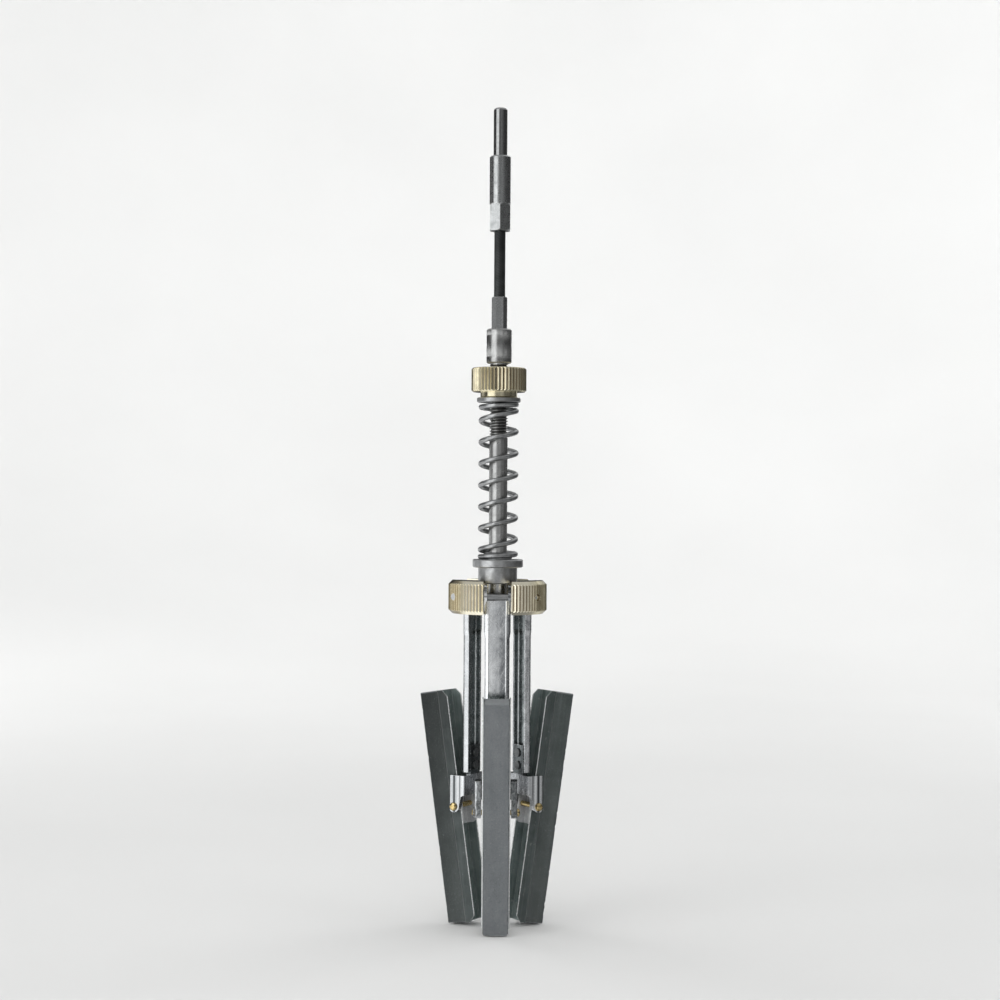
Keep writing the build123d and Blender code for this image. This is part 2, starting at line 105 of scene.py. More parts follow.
def lathe(profile, sides):
    """Vertices and faces of a surface of revolution; a point on the axis becomes a pole."""
    verts, rows, faces = [], [], []
    for r, z in profile:
        if r < 1e-9:
            rows.append([len(verts)])
            verts.append((0.0, 0.0, z))
        else:
            rows.append(list(range(len(verts), len(verts) + sides)))
            for i in range(sides):
                a = 2 * math.pi * i / sides
                verts.append((r * math.cos(a), r * math.sin(a), z))
    for lower, upper in zip(rows[:-1], rows[1:]):
        for i in range(sides):
            j = (i + 1) % sides
            if len(lower) == 1 and len(upper) == 1:
                continue
            if len(lower) == 1:
                faces.append((lower[0], upper[i], upper[j]))
            elif len(upper) == 1:
                faces.append((lower[i], lower[j], upper[0]))
            else:
                faces.append((lower[i], lower[j], upper[j], upper[i]))
    return verts, faces


sweep_profile = [(0.0, FLOOR_Z), (0.4, FLOOR_Z), (1.1, FLOOR_Z)]
for i in range(1, 25):
    a = math.pi / 2 * i / 24
    sweep_profile.append((1.1 + 1.3 * math.sin(a), FLOOR_Z + 1.3 * (1 - math.cos(a))))
sweep_profile.append((2.4, 3.0))
stage_verts, stage_faces = lathe(sweep_profile, 96)
stage = mesh_object("studio_floor", stage_verts, stage_faces, 60)
stage.visible_glossy = False


# ------------------------------------------------------------------ shading helpers
class Shade:
    """A Principled material with short calls for the nodes that it needs."""

    def __init__(self, name, metallic=0.0, ior_level=0.5):
        self.material = bpy.data.materials.new(name)
        self.material.use_nodes = True
        self.tree = self.material.node_tree
        self.tree.nodes.clear()
        self.output = self.tree.nodes.new("ShaderNodeOutputMaterial")
        self.bsdf = self.tree.nodes.new("ShaderNodeBsdfPrincipled")
        self.tree.links.new(self.bsdf.outputs[0], self.output.inputs[0])
        self.bsdf.inputs["Metallic"].default_value = metallic
        self.bsdf.inputs["Specular IOR Level"].default_value = ior_level
        self.coord = self.tree.nodes.new("ShaderNodeTexCoord").outputs["Object"]

    def put(self, socket, value):
        if isinstance(value, bpy.types.NodeSocket):
            self.tree.links.new(value, socket)
        else:
            socket.default_value = value

    def set(self, name, value):
        self.put(self.bsdf.inputs[name], value)

    def place(self, vector=None, scale=(1, 1, 1), rotation=(0, 0, 0), move=(0, 0, 0)):
        n = self.tree.nodes.new("ShaderNodeMapping")
        self.put(n.inputs["Vector"], vector or self.coord)
        n.inputs["Location"].default_value = move
        n.inputs["Rotation"].default_value = [math.radians(x) for x in rotation]
        n.inputs["Scale"].default_value = scale
        return n.outputs[0]

    def noise(self, vector, scale, detail=3.0, rough=0.55, distortion=0.0):
        n = self.tree.nodes.new("ShaderNodeTexNoise")
        self.put(n.inputs["Vector"], vector)
        n.inputs["Scale"].default_value = scale
        n.inputs["Detail"].default_value = detail
        n.inputs["Roughness"].default_value = rough
        n.inputs["Distortion"].default_value = distortion
        return n.outputs[0]

    def cells(self, vector, scale, feature="F1"):
        n = self.tree.nodes.new("ShaderNodeTexVoronoi")
        n.feature = feature
        self.put(n.inputs["Vector"], vector)
        n.inputs["Scale"].default_value = scale
        return n.outputs["Distance"]

    def scaled(self, colour, amount):
        """Colour multiplied by a number."""
        n = self.tree.nodes.new("ShaderNodeVectorMath")
        n.operation = "SCALE"
        self.put(n.inputs[0], colour)
        self.put(n.inputs["Scale"], amount)
        return n.outputs[0]

    def fit(self, value, a, b, c=0.0, d=1.0, smooth=False):
        n = self.tree.nodes.new("ShaderNodeMapRange")
        n.clamp = True
        if smooth:
            n.interpolation_type = "SMOOTHSTEP"
        self.put(n.inputs["Value"], value)
        for name, x in zip(("From Min", "From Max", "To Min", "To Max"), (a, b, c, d)):
            n.inputs[name].default_value = x
        return n.outputs[0]

    def math(self, op, a, b=0.0):
        n = self.tree.nodes.new("ShaderNodeMath")
        n.operation = op
        self.put(n.inputs[0], a)
        self.put(n.inputs[1], b)
        return n.outputs[0]

    def mix(self, fac, a, b, how="MIX"):
        n = self.tree.nodes.new("ShaderNodeMix")
        n.data_type = "RGBA"
        n.blend_type = how
        self.put(n.inputs[0], fac)
        for socket, value in ((n.inputs[6], a), (n.inputs[7], b)):
            if isinstance(value, bpy.types.NodeSocket):
                self.tree.links.new(value, socket)
            else:
                socket.default_value = (*value, 1.0)
        return n.outputs[2]

    def parts(self, vector):
        n = self.tree.nodes.new("ShaderNodeSeparateXYZ")
        self.put(n.inputs[0], vector)
        return n.outputs

    def radius(self):
        """Distance from the hone's axis."""
        p = self.parts(self.coord)
        return self.math(
            "SQRT",
            self.math("ADD", self.math("MULTIPLY", p[0], p[0]), self.math("MULTIPLY", p[1], p[1])),
        )

    def edges(self, radius, gain=6.0, samples=4):
        """1 on convex and concave edges, 0 on flats."""
        bevel = self.tree.nodes.new("ShaderNodeBevel")
        bevel.samples = samples
        bevel.inputs["Radius"].default_value = radius
        normal = self.tree.nodes.new("ShaderNodeNewGeometry").outputs["Normal"]
        dot = self.tree.nodes.new("ShaderNodeVectorMath")
        dot.operation = "DOT_PRODUCT"
        self.tree.links.new(bevel.outputs[0], dot.inputs[0])
        self.tree.links.new(normal, dot.inputs[1])
        return self.fit(dot.outputs["Value"], 1.0 - 1.0 / gain, 0.995, 1.0, 0.0)

    def bump(self, height, strength, distance, below=None):
        n = self.tree.nodes.new("ShaderNodeBump")
        n.inputs["Strength"].default_value = strength
        n.inputs["Distance"].default_value = distance
        self.put(n.inputs["Height"], height)
        if below is not None:
            self.tree.links.new(below, n.inputs["Normal"])
        return n.outputs[0]


def scratches(s, vector, turn, scale=1.0, low=0.66, high=0.72, stretch=22.0):
    """Thin straight marks: stretched noise cut off high."""
    turned = s.place(vector, rotation=turn)
    long = s.place(turned, scale=(1.0, 1.0, 1.0 / stretch))
    n = s.noise(long, 3200.0 * scale, 1.5, 0.5, 0.15)
    return s.fit(n, low, high)


# ------------------------------------------------------------------ materials
def turned_steel(name, base, rough, rings=1.0, marks=0.5):
    """Lathe-turned steel: fine rings round the axis, blotches, small dents."""
    s = Shade(name, metallic=1.0)
    ring = s.noise(s.place(scale=(120, 120, 9000)), 1.0, 3.0, 0.6)
    ring_wide = s.noise(s.place(scale=(60, 60, 1600)), 1.0, 2.0, 0.5)
    blotch = s.noise(s.coord, 260.0, 4.0, 0.6, 0.4)
    lengthwise = s.noise(s.place(scale=(1500, 1500, 70)), 1.0, 3.0, 0.6)
    nick = s.fit(s.noise(s.coord, 1500.0, 2.0, 0.5), 0.66, 0.76)
    edge = s.edges(0.00035)
    dark = tuple(0.62 * c for c in base)
    light = tuple(min(1.0, 1.18 * c) for c in base)
    colour = s.mix(s.fit(blotch, 0.3, 0.75), dark, base)
    colour = s.mix(s.fit(ring, 0.35, 0.75, 0.0, 0.4), colour, light)
    colour = s.mix(s.math("MULTIPLY", nick, 0.55), colour, tuple(0.4 * c for c in base))
    colour = s.mix(s.math("MULTIPLY", edge, 0.6), colour, (0.82, 0.82, 0.80))
    s.set("Base Color", colour)
    r = s.math("ADD", s.fit(blotch, 0.25, 0.8, rough + 0.10, rough - 0.04), s.fit(lengthwise, 0.3, 0.7, -0.04, 0.08))
    s.set("Roughness", r)
    height = s.math("ADD", s.math("MULTIPLY", ring, 0.6 * rings), s.math("MULTIPLY", ring_wide, 0.5 * rings))
    height = s.math("ADD", height, s.math("MULTIPLY", nick, -marks))
    s.set("Normal", s.bump(height, 0.35, 0.00002))
    return s.material


def crimped_steel():
    """Sleeve and crimped hexagon: dull plated steel with lengthwise tool marks."""
    s = Shade("coupling_plate", metallic=1.0)
    blotch = s.noise(s.coord, 330.0, 5.0, 0.62, 0.6)
    speck = s.noise(s.coord, 2100.0, 3.0, 0.6)
    drawn = s.noise(s.place(scale=(1900, 1900, 55)), 1.0, 3.0, 0.6)
    pit = s.fit(s.noise(s.coord, 1150.0, 2.0, 0.5), 0.67, 0.74)
    edge = s.edges(0.0004)
    colour = s.mix(s.fit(blotch, 0.3, 0.7), (0.36, 0.37, 0.37), (0.60, 0.61, 0.61))
    colour = s.mix(s.fit(drawn, 0.4, 0.75, 0.0, 0.45), colour, (0.72, 0.73, 0.73))
    colour = s.mix(s.math("MULTIPLY", pit, 0.6), colour, (0.18, 0.18, 0.17))
    colour = s.mix(s.math("MULTIPLY", edge, 0.7), colour, (0.86, 0.86, 0.84))
    s.set("Base Color", colour)
    s.set("Roughness", s.math("ADD", s.fit(blotch, 0.3, 0.75, 0.34, 0.20), s.fit(speck, 0.3, 0.7, -0.05, 0.06)))
    height = s.math("ADD", s.math("MULTIPLY", drawn, 0.5), s.math("MULTIPLY", speck, 0.35))
    height = s.math("ADD", height, s.math("MULTIPLY", pit, -0.9))
    s.set("Normal", s.bump(height, 0.4, 0.00003))
    return s.material


def wire_black():
    """Oil-blackened spring wire, worn grey on its crests with a painted sheen there, and painted shade in the gaps
    between the wires.
    """
    s = Shade("black_wire", metallic=1.0)
    grain = s.noise(s.coord, 1700.0, 4.0, 0.6)
    soft = s.noise(s.coord, 240.0, 3.0, 0.5)
    crest = s.fit(s.radius(), 0.00215, 0.00250, 0.0, 1.0, True)
    # worn crests, partly a painted sheen: lighter grey towards the wires' outer radius
    crest_wear_and_sheen = s.math("MULTIPLY", crest, s.fit(soft, 0.35, 0.7, 0.45, 1.0))
    # painted shade: darker in the gaps between the wires
    groove = s.fit(s.radius(), 0.00205, 0.00232, 1.0, 0.0)
    colour = s.mix(s.fit(grain, 0.3, 0.7), (0.014, 0.016, 0.017), (0.032, 0.034, 0.034))
    colour = s.mix(groove, colour, (0.006, 0.006, 0.006))
    colour = s.mix(crest_wear_and_sheen, colour, (0.125, 0.130, 0.128))
    s.set("Base Color", colour)
    s.set("Roughness", s.fit(grain, 0.25, 0.75, 0.26, 0.46))
    s.set("Normal", s.bump(grain, 0.2, 0.00002))
    return s.material


def machined_black(name="spindle_steel"):
    """Threaded rod: bright cut steel, darker in the thread roots."""
    s = Shade(name, metallic=1.0)
    r = s.radius()
    ring = s.noise(s.place(scale=(150, 150, 8200)), 1.0, 3.0, 0.6)
    blotch = s.noise(s.coord, 300.0, 4.0, 0.6, 0.3)
    root = s.fit(r, 0.00335, 0.00395, 1.0, 0.0)
    colour = s.mix(s.fit(blotch, 0.3, 0.72), (0.34, 0.34, 0.34), (0.55, 0.55, 0.54))
    colour = s.mix(s.fit(ring, 0.4, 0.75, 0.0, 0.4), colour, (0.68, 0.68, 0.66))
    colour = s.mix(s.math("MULTIPLY", root, 0.75), colour, (0.07, 0.065, 0.058))
    s.set("Base Color", colour)
    s.set("Roughness", s.math("ADD", s.fit(blotch, 0.3, 0.75, 0.36, 0.22), s.math("MULTIPLY", root, 0.15)))
    s.set("Normal", s.bump(ring, 0.3, 0.00002))
    return s.material


def gold_plate(name, outer, depth, low, high):
    """Yellow plated knurled wheel: bright on the ridges and rims, painted brown shade in the knurl's hollows, a painted
    highlight across its front and painted shade at its left end.
    """
    s = Shade(name, metallic=1.0)
    r = s.radius()
    # painted shade: the knurl's hollows are painted dark brown
    groove = s.fit(r, outer - depth, outer - 0.1 * depth, 1.0, 0.0)
    inside = s.fit(r, outer - depth - 0.0006, outer - depth - 0.0001, 0.0, 1.0)
    groove = s.math("MULTIPLY", groove, inside)
    z = s.parts(s.coord)[2]
    groove = s.math("MULTIPLY", groove, s.math("MULTIPLY", s.fit(z, low - 0.0001, low + 0.0001), s.fit(z, high + 0.0001, high - 0.0001)))
    blotch = s.noise(s.coord, 210.0, 4.0, 0.6, 0.5)
    speck = s.noise(s.coord, 1500.0, 3.0, 0.6)
    ring = s.noise(s.place(scale=(180, 180, 7000)), 1.0, 2.0, 0.5)
    x = s.parts(s.coord)[0]
    # painted highlight: a near-white band across the wheel's front, strong on the hub, faint on the nut
    pale = s.math("MULTIPLY", s.fit(x, -0.0172, -0.0135), s.fit(x, 0.0125, 0.0175, 1.0, 0.0))
    even = s.fit(x, -0.0035, 0.0015, 1.0, 0.0)
    # painted shade: the wheel's left end is painted dark brown
    painted_left_shade = s.fit(x, -0.0148, -0.0172)
    edge = s.edges(0.00035)
    colour = s.mix(s.fit(blotch, 0.3, 0.72), (0.50, 0.435, 0.265), (0.80, 0.735, 0.52))
    colour = s.mix(s.fit(speck, 0.55, 0.75, 0.0, 0.45), colour, (0.95, 0.88, 0.68))
    colour = s.mix(s.math("MULTIPLY", pale, 0.75 if outer > 0.02 else 0.2), colour, (0.99, 0.93, 0.78))
    colour = s.mix(s.math("MULTIPLY", painted_left_shade, 0.95), colour, (0.27, 0.225, 0.135))
    # the painted shade in the hollows is weaker on the wheel's left side
    depth_of_tone = s.math("SUBTRACT", 0.85, s.math("MULTIPLY", even, 0.50))
    colour = s.mix(s.math("MULTIPLY", groove, depth_of_tone), colour, (0.17, 0.105, 0.035))
    colour = s.mix(s.math("MULTIPLY", edge, 0.55), colour, (0.96, 0.88, 0.68))
    s.set("Base Color", colour)
    s.set("Roughness", s.math("ADD", s.fit(blotch, 0.3, 0.75, 0.26, 0.14), s.math("MULTIPLY", groove, 0.2)))
    height = s.math("ADD", s.math("MULTIPLY", ring, 0.6), s.math("MULTIPLY", speck, 0.4))
    s.set("Normal", s.bump(height, 0.35, 0.00003))
    return s.material


def chrome(name, az, worn, fork=False):
    """Chromed sheet: bright, drawn lengthwise, with scuffs, flecks and rolled edges; painted highlights along the web's
    bends, on its left part, on outer faces and in an inside corner, painted shade on one side, inside the channel and
    on the yoke's tongue, and painted reflection bands on the fork's ears.
    """
    s = Shade(name, metallic=1.0)
    local = s.place(rotation=(0, 0, -az))
    p = s.parts(local)
    side = s.math("ABSOLUTE", p[1])
    drawn = s.noise(s.place(local, scale=(2300, 2300, 34)), 1.0, 3.0, 0.6)
    fine = s.noise(s.place(local, scale=(6500, 6500, 160)), 1.0, 2.0, 0.5)
    cloud = s.noise(s.place(local, scale=(1.0, 1.0, 0.6)), 210.0, 5.0, 0.62, 0.9)
    broad = s.noise(s.place(local, scale=(1.0, 1.0, 0.4)), 70.0, 3.0, 0.5, 0.5)
    fleck = s.noise(s.place(local, scale=(1.0, 1.0, 0.55), rotation=(28, 0, 0)), 820.0, 4.0, 0.68, 0.7)
    mark = scratches(s, local, (24, 0, 8), 1.0, 0.64, 0.70)
    mark2 = scratches(s, local, (-38, 0, -5), 0.8, 0.66, 0.72)
    marks = s.math("MAXIMUM", mark, mark2)
    edge = s.edges(0.0003)
    lane = s.noise(s.place(local, scale=(760, 760, 9)), 1.0, 2.0, 0.5)
    colour = s.mix(s.fit(cloud, 0.38, 0.60), (0.36, 0.37, 0.39), (0.80, 0.81, 0.82))
    colour = s.mix(s.fit(lane, 0.52, 0.62, 0.0, 0.45), colour, (0.88, 0.89, 0.90))
    colour = s.mix(s.fit(lane, 0.46, 0.38, 0.0, 0.40), colour, (0.27, 0.28, 0.29))
    colour = s.mix(s.math("MULTIPLY", s.fit(fleck, 0.50, 0.62), 0.75 * worn), colour, (0.92, 0.93, 0.94))
    colour = s.mix(s.math("MULTIPLY", s.fit(fleck, 0.46, 0.36), 0.40 * worn), colour, (0.26, 0.27, 0.28))
    colour = s.mix(s.fit(drawn, 0.42, 0.62, 0.0, 0.30), colour, (0.38, 0.39, 0.41))
    web = s.fit(p[0], 0.01405, 0.01435)
    # painted highlight: a bright line along each bend of the web, also raised as a ridge bump
    crease = s.math("MULTIPLY", web, s.fit(s.math("ABSOLUTE", s.math("SUBTRACT", side, 0.00385)), 0.00010, 0.00034, 1.0, 0.0))
    # painted highlight: the web's left part is painted near-white, fading towards the middle
    light = s.math("MULTIPLY", web, s.fit(p[1], -0.0042, 0.0012, 0.85, 0.0))
    colour = s.mix(light, colour, (0.93, 0.94, 0.95))
    # painted shade: the sheet is darker towards its right side, broken up by noise
    painted_side_shade = s.math("MULTIPLY", s.fit(p[1], -0.0012, 0.0036), s.fit(broad, 0.3, 0.6, 0.55, 0.95))
    colour = s.mix(painted_side_shade, colour, s.mix(1.0, colour, (0.42, 0.43, 0.44), "MULTIPLY"))
    colour = s.mix(s.math("MULTIPLY", marks, 0.6 * worn), colour, (0.95, 0.95, 0.95))
    if fork:
        # painted reflection: dark streaks and two dark bands across the ears stand in for reflected surroundings
        streak = s.noise(s.place(local, scale=(340, 340, 10)), 1.0, 1.0, 0.5)
        # painted highlight: the ears' outer faces are painted lighter
        painted_outer_highlight = s.fit(side, 0.0088, 0.0089)
        colour = s.mix(s.math("MULTIPLY", painted_outer_highlight, 0.42), colour, (0.95, 0.96, 0.97))
        colour = s.mix(s.fit(streak, 0.45, 0.53, 0.0, 0.30), colour, (0.17, 0.18, 0.19))
        band = s.fit(s.math("ABSOLUTE", s.math("SUBTRACT", p[0], 0.0160)), 0.00036, 0.00080, 1.0, 0.0)
        reflection_band2 = s.fit(s.math("ABSOLUTE", s.math("SUBTRACT", p[0], 0.0132)), 0.00026, 0.00060, 0.7, 0.0)
        colour = s.mix(s.math("MAXIMUM", band, reflection_band2), colour, (0.08, 0.087, 0.090))
        cut = s.fit(p[0], 0.01800, 0.01830)
        cut = s.math("MULTIPLY", cut, s.fit(p[2], -0.2970, -0.2962))
        rough_cut = s.mix(s.fit(fleck, 0.42, 0.60), (0.18, 0.19, 0.195), (0.54, 0.56, 0.57))
        colour = s.mix(s.math("MULTIPLY", cut, 0.9), colour, rough_cut)
        # painted shade: the yoke's tang inside the arm's channel is painted darker
        tongue = s.math("MULTIPLY", s.fit(p[2], -0.2812, -0.2806), s.fit(side, 0.0045, 0.0044))
        colour = s.mix(tongue, colour, s.mix(1.0, colour, (0.24, 0.26, 0.26), "MULTIPLY"))
    else:
        # painted highlight: the left arm's outer flange faces are painted lighter
        painted_outer_highlight = s.fit(side, 0.00522, 0.00530, 0.0, 0.40 if az == 150 else 0.0)
        colour = s.mix(painted_outer_highlight, colour, (0.95, 0.96, 0.97))
        half = s.fit(p[2], -0.2200, -0.2176, 0.0, 0.0004)
        # painted shade and painted reflection: the inside of the channel is painted a dark grey with light flecks
        hollow = s.math("MULTIPLY", s.fit(s.math("SUBTRACT", side, half), 0.00450, 0.00440), s.fit(p[0], 0.01370, 0.01360))
        hollow = s.math("MULTIPLY", hollow, s.fit(p[2], -0.2040, -0.2052))
        dull = s.mix(s.fit(cloud, 0.35, 0.65), (0.190, 0.212, 0.214), (0.310, 0.335, 0.338))
        dull = s.mix(s.fit(fleck, 0.54, 0.62, 0.0, 0.6), dull, (0.56, 0.58, 0.59))
        colour = s.mix(hollow, colour, dull)
        # painted highlight: a light line along the inside corner, made partly non-metal so it shows lit
        corner = s.math("MULTIPLY", s.fit(s.math("ABSOLUTE", s.math("SUBTRACT", side, 0.00402)), 0.00014, 0.00030, 1.0, 0.0), s.fit(s.math("ABSOLUTE", s.math("SUBTRACT", p[0], 0.01325)), 0.00022, 0.00040, 1.0, 0.0))
        colour = s.mix(s.math("MULTIPLY", corner, 0.9), colour, (0.66, 0.69, 0.70))
        s.set("Metallic", s.math("SUBTRACT", 1.0, s.math("MULTIPLY", corner, 0.85)))
    colour = s.mix(s.math("MULTIPLY", edge, 0.65), colour, (0.95, 0.96, 0.97))
    s.set("Base Color", colour)
    rough = s.math("ADD", s.fit(cloud, 0.25, 0.75, 0.15 + 0.12 * worn, 0.10), s.fit(fleck, 0.45, 0.7, 0.0, 0.16 * worn))
    rough = s.math("ADD", rough, s.math("MULTIPLY", marks, 0.12))
    s.set("Roughness", s.math("ADD", rough, s.math("MULTIPLY", cut, 0.26)) if fork else rough)
    height = s.math("ADD", s.math("MULTIPLY", drawn, 0.55), s.math("MULTIPLY", fine, 0.25))
    height = s.math("ADD", height, s.math("MULTIPLY", fleck, 0.9 * worn))
    height = s.math("ADD", height, s.math("MULTIPLY", marks, -0.6))
    if not fork:
        # painted highlight along the web's bend lines
        colour = s.mix(s.math("MULTIPLY", crease, 0.9), colour, (0.98, 0.98, 0.98))
        s.set("Base Color", colour)
    ridge = s.bump(crease, 1.0, 0.00009, below=s.bump(lane, 0.5, 0.00012)) if not fork else s.bump(lane, 0.5, 0.00012)
    s.set("Normal", s.bump(height, 0.4, 0.00005, below=ridge))
    return s.material


def holder_steel(az, bend_wear_and_highlight, tone):
    """Stone holder: dull grey-green sheet, streaked lengthwise, worn along its cut edges, with painted highlights along
    its back edge and the front holder's bend, painted light on its inside faces and painted shade towards its top.
    """
    s = Shade("holder_steel_%d" % int(az), metallic=0.5)
    local = s.place(s.place(rotation=(0, 0, -az)), move=(-0.0162, 0, 0.2946))
    local = s.place(local, rotation=(0, -8.7, 0), move=(0.0162, 0, 0))
    p = s.parts(local)
    side = s.math("ABSOLUTE", p[1])
    # worn edges, partly painted highlight: the bend is lightened strongly on the front holder only, the back edge on
    # all
    bend = s.math("MULTIPLY", s.fit(side, 0.00550, 0.00580), s.fit(p[0], 0.01885, 0.01915))
    tip = s.fit(p[0], 0.01468, 0.01452)
    worn_and_highlit_edges = s.math("MAXIMUM", s.math("MULTIPLY", bend, bend_wear_and_highlight), tip)
    # painted light: the holder's inside faces are painted about three times lighter
    inner = s.math("MULTIPLY", s.fit(side, 0.00585, 0.00575), s.fit(p[0], 0.01945, 0.01935))
    streak = s.noise(s.place(local, scale=(1300, 1300, 22)), 1.0, 4.0, 0.6)
    cloud = s.noise(local, 120.0, 5.0, 0.6, 0.6)
    grain = s.noise(local, 2400.0, 3.0, 0.6)
    spot = s.fit(s.noise(local, 750.0, 3.0, 0.55), 0.66, 0.74)
    edge = s.edges(0.00028)
    colour = s.mix(s.fit(cloud, 0.3, 0.7), (0.048, 0.060, 0.058), (0.084, 0.098, 0.096))
    colour = s.mix(s.fit(streak, 0.45, 0.72, 0.0, 0.5), colour, (0.118, 0.134, 0.131))
    colour = s.mix(s.math("MULTIPLY", spot, 0.5), colour, (0.24, 0.26, 0.26))
    # painted shade: darker towards the top, much more on the left holder, and the left holder darker overall (tone
    # below 1)
    shade = s.fit(p[2], -0.010, 0.046, 1.0, 0.94 if tone == 1.0 else 0.52)
    tone_z = s.math("MULTIPLY", shade, tone)
    colour = s.mix(inner, s.scaled(colour, tone_z), s.mix(1.0, colour, (2.9, 2.9, 2.9), "MULTIPLY"))
    wear = s.math("MULTIPLY", s.math("MAXIMUM", s.math("MULTIPLY", edge, 0.6), worn_and_highlit_edges), s.fit(grain, 0.3, 0.6, 0.55, 1.0))
    colour = s.mix(wear, colour, (0.84, 0.85, 0.85))
    s.set("Base Color", colour)
    s.set("Roughness", s.math("ADD", s.fit(cloud, 0.3, 0.75, 0.46, 0.34), s.math("MULTIPLY", worn_and_highlit_edges, -0.14)))
    height = s.math("ADD", s.math("MULTIPLY", streak, 0.4), s.math("MULTIPLY", grain, 0.4))
    s.set("Normal", s.bump(height, 0.3, 0.00003))
    return s.material


def abrasive(az):
    """Vitrified stone: fine open grain, a light working face, flanks painted darker (painted shade) and darker towards
    their top, end faces painted lighter (painted light).
    """
    s = Shade("abrasive_%d" % int(az), ior_level=0.45)
    local = s.place(s.place(rotation=(0, 0, -az)), move=(-0.0162, 0, 0.2946))
    local = s.place(local, rotation=(0, -8.7, 0), move=(0.0162, 0, 0))
    p = s.parts(local)
    grain = s.noise(local, 2600.0, 4.0, 0.7)
    pores = s.cells(s.place(local, scale=(1, 1, 1)), 2100.0)
    pore = s.fit(pores, 0.16, 0.34, 1.0, 0.0)
    sparse = s.fit(s.noise(local, 900.0, 2.0, 0.5), 0.42, 0.62)
    pore = s.math("MULTIPLY", pore, sparse)
    glint = s.fit(s.noise(s.place(local, move=(3, 1, 2)), 3400.0, 1.0, 0.5), 0.70, 0.78)
    cloud = s.noise(local, 95.0, 5.0, 0.6, 0.5)
    streak = s.noise(s.place(local, scale=(420, 420, 16)), 1.0, 3.0, 0.55)
    face = s.fit(p[0], 0.0281, 0.02855, 0.0, 1.0, True)
    # painted shade: the flanks are darker than the working face and darker towards their top
    low = s.fit(p[2], -0.051, 0.051, 1.0, 0.0)
    flank_dark = (0.022, 0.029, 0.028)
    flank_light = (0.078, 0.088, 0.086)
    flank = s.mix(s.math("ADD", s.math("MULTIPLY", low, 0.55), s.fit(cloud, 0.3, 0.75, 0.0, 0.5)), flank_dark, flank_light)
    flank = s.mix(s.fit(streak, 0.45, 0.7, 0.0, 0.35), flank, (0.092, 0.103, 0.101))
    # painted shade and light: the left stone's flanks darker at the top and towards the working face, the right stone's
    # lighter at the top and darker low
    if az == 150:
        flank = s.scaled(flank, s.math("MULTIPLY", s.fit(p[2], 0.048, -0.030, 0.52, 1.05), s.fit(p[0], 0.0270, 0.0205, 0.72, 1.06)))
    if az == 30:
        flank = s.scaled(flank, s.fit(p[2], 0.045, -0.050, 1.22, 0.84))
    front = s.mix(s.fit(cloud, 0.3, 0.7), (0.112, 0.122, 0.128), (0.150, 0.160, 0.167))
    front = s.mix(s.fit(streak, 0.4, 0.7, 0.0, 0.3), front, (0.168, 0.171, 0.182))
    # painted light: the end faces are painted lighter than the working face
    end = s.fit(s.math("ABSOLUTE", p[2]), 0.0502, 0.0506)
    colour = s.mix(face, flank, front)
    colour = s.mix(end, colour, (0.178, 0.188, 0.194))
    colour = s.mix(s.fit(grain, 0.35, 0.65, 0.0, 0.30), colour, s.mix(1.0, colour, (0.45, 0.45, 0.45), "MULTIPLY"))
    colour = s.mix(s.math("MULTIPLY", pore, 0.6), colour, (0.025, 0.028, 0.028))
    colour = s.mix(s.math("MULTIPLY", glint, 0.5), colour, (0.42, 0.44, 0.45))
    s.set("Base Color", colour)
    s.set("Roughness", s.fit(grain, 0.3, 0.7, 0.62, 0.86))
    height = s.math("ADD", s.math("MULTIPLY", grain, 0.7), s.math("MULTIPLY", pore, -0.8))
    s.set("Normal", s.bump(height, 0.5, 0.00006))
    return s.material


def plated(name, base, tint, rough=0.30, metallic=1.0):
    """Small bright-plated parts: washers, nuts, clips, rivets, collar."""
    s = Shade(name, metallic=metallic)
    blotch = s.noise(s.coord, 380.0, 4.0, 0.6, 0.5)
    grain = s.noise(s.coord, 2200.0, 3.0, 0.6)
    mark = scratches(s, s.coord, (62, 12, 0), 1.0, 0.66, 0.72)
    edge = s.edges(0.0003)
    colour = s.mix(s.fit(blotch, 0.3, 0.7), tuple(0.66 * c for c in base), base)
    colour = s.mix(s.fit(grain, 0.5, 0.72, 0.0, 0.35), colour, tint)
    colour = s.mix(s.math("MULTIPLY", mark, 0.5), colour, (0.88, 0.88, 0.86))
    colour = s.mix(s.math("MULTIPLY", edge, 0.5), colour, (0.90, 0.90, 0.88))
    s.set("Base Color", colour)
    s.set("Roughness", s.math("ADD", s.fit(blotch, 0.3, 0.75, rough + 0.08, rough - 0.08), s.fit(grain, 0.3, 0.7, -0.03, 0.05)))
    s.set("Normal", s.bump(s.math("ADD", grain, s.math("MULTIPLY", mark, -0.5)), 0.3, 0.00002))
    return s.material


